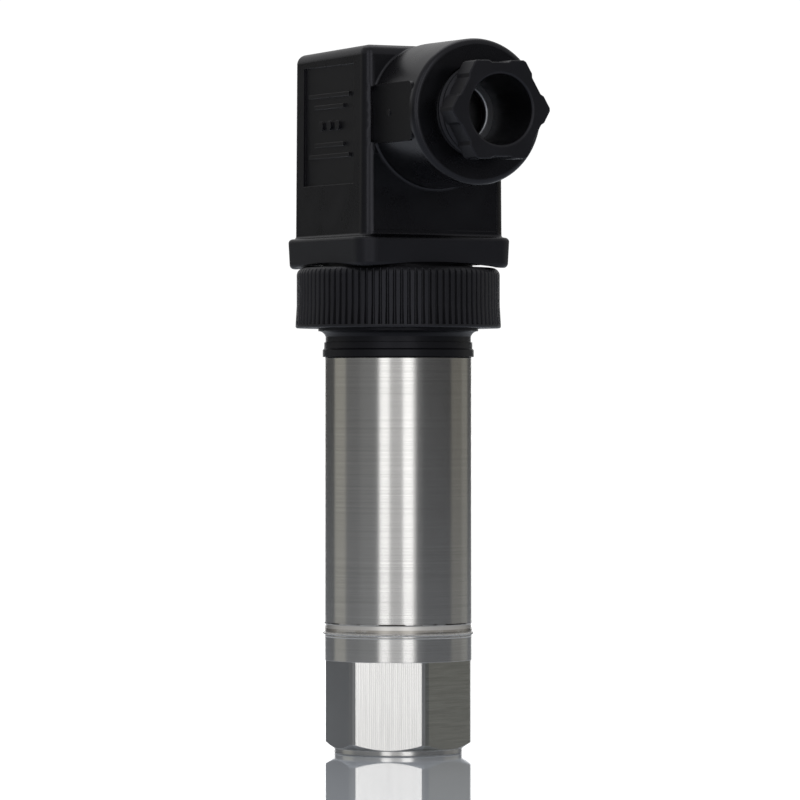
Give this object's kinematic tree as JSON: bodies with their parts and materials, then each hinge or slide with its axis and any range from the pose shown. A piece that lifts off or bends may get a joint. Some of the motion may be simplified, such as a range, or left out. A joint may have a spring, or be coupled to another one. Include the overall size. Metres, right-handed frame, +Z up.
{
  "type": "pressure transmitter",
  "caption": "Upright steel pressure transmitter with a spanner hexagon and threaded port below, a knurled union ring and a square angled plug with a hexagonal cable nut on top.",
  "frame": {"origin": "centre of the pressure port's end face, on which the part stands", "axes": "+Z up along the body, -Z out of the pressure port, -Y out along the cable gland"},
  "size_m": [0.0348, 0.0534, 0.1194],
  "materials": {
    "stainless_steel": "fine turned stainless steel",
    "black_polyamide": "black glass-filled polyamide, moulded",
    "ribbed_polyamide": "black polyamide, moulded",
    "insert_polyamide": "dark grey polyamide, moulded",
    "plated_steel": "bright zinc-plated steel",
    "tinned_brass": "tin-plated brass",
    "bush_brass": "turned brass",
    "seal_rubber": "black nitrile rubber",
    "ceramic": "white alumina ceramic",
    "circuit_board": "green lacquered board",
    "component_resin": "black moulding resin",
    "capacitor_ceramic": "brown ceramic"
  },
  "bodies": {
    "sensor": {"pressure_port": "stainless_steel", "cell_seal": "seal_rubber", "ceramic_cell": "ceramic", "cell_retainer": "stainless_steel", "cell_pins": "bush_brass", "board_frame": "insert_polyamide", "amplifier_board": "circuit_board", "signal_chip": "component_resin", "filter_capacitors": "capacitor_ceramic", "board_header": "component_resin", "header_pins": "bush_brass", "body_tube": "stainless_steel", "threaded_neck": "ribbed_polyamide", "tube_seal": "seal_rubber", "carrier_seal": "seal_rubber"},
    "head": {"pin_carrier": "black_polyamide", "contact_blades": "tinned_brass", "earth_blade": "tinned_brass", "screw_bush": "bush_brass", "link_board": "circuit_board", "link_socket": "component_resin", "profile_gasket": "seal_rubber", "connector_housing": "black_polyamide", "terminal_insert": "insert_polyamide", "contact_sockets": "tinned_brass", "earth_socket": "tinned_brass", "terminal_screws": "plated_steel", "cable_grommet": "seal_rubber"},
    "union_ring": {"coupling_ring": "ribbed_polyamide"},
    "thrust_washer": {"gland_washer": "plated_steel"},
    "cable_nut": {"gland_nut": "black_polyamide"},
    "screw_seat": {"screw_washer": "plated_steel"},
    "fixing_screw": {"central_screw": "plated_steel"}
  },
  "joints": [
    {"name": "head_lift", "type": "slide", "parent": "sensor", "child": "head", "axis": [0, 0, 1], "range_m": [0, 0.0045]},
    {"name": "ring_turn", "type": "hinge", "parent": "head", "child": "union_ring", "pos_m": [0, 0, 0.077], "axis": [0, 0, 1], "range_deg": [0, 1081]},
    {"name": "gland_slide", "type": "slide", "parent": "head", "child": "thrust_washer", "axis": [0, -1, 0], "range_m": [-0.00358, 0.004]},
    {"name": "gland_turn", "type": "hinge", "parent": "thrust_washer", "child": "cable_nut", "pos_m": [0, -0.03, 0.10725], "axis": [0, -1, 0], "range_deg": [-861, 961]},
    {"name": "screw_slide", "type": "slide", "parent": "head", "child": "screw_seat", "axis": [0, 0, 1], "range_m": [0, 0.005]},
    {"name": "screw_turn", "type": "hinge", "parent": "screw_seat", "child": "fixing_screw", "pos_m": [0, 0, 0.116], "axis": [0, 0, 1], "range_deg": [0, 3601]}
  ],
  "couplings": [
    {"joint": "ring_turn", "follows": "head_lift", "rad_per_m": 4188.8},
    {"joint": "gland_turn", "follows": "gland_slide", "rad_per_m": 4188.8},
    {"joint": "screw_turn", "follows": "screw_slide", "rad_per_m": 12566}
  ]
}
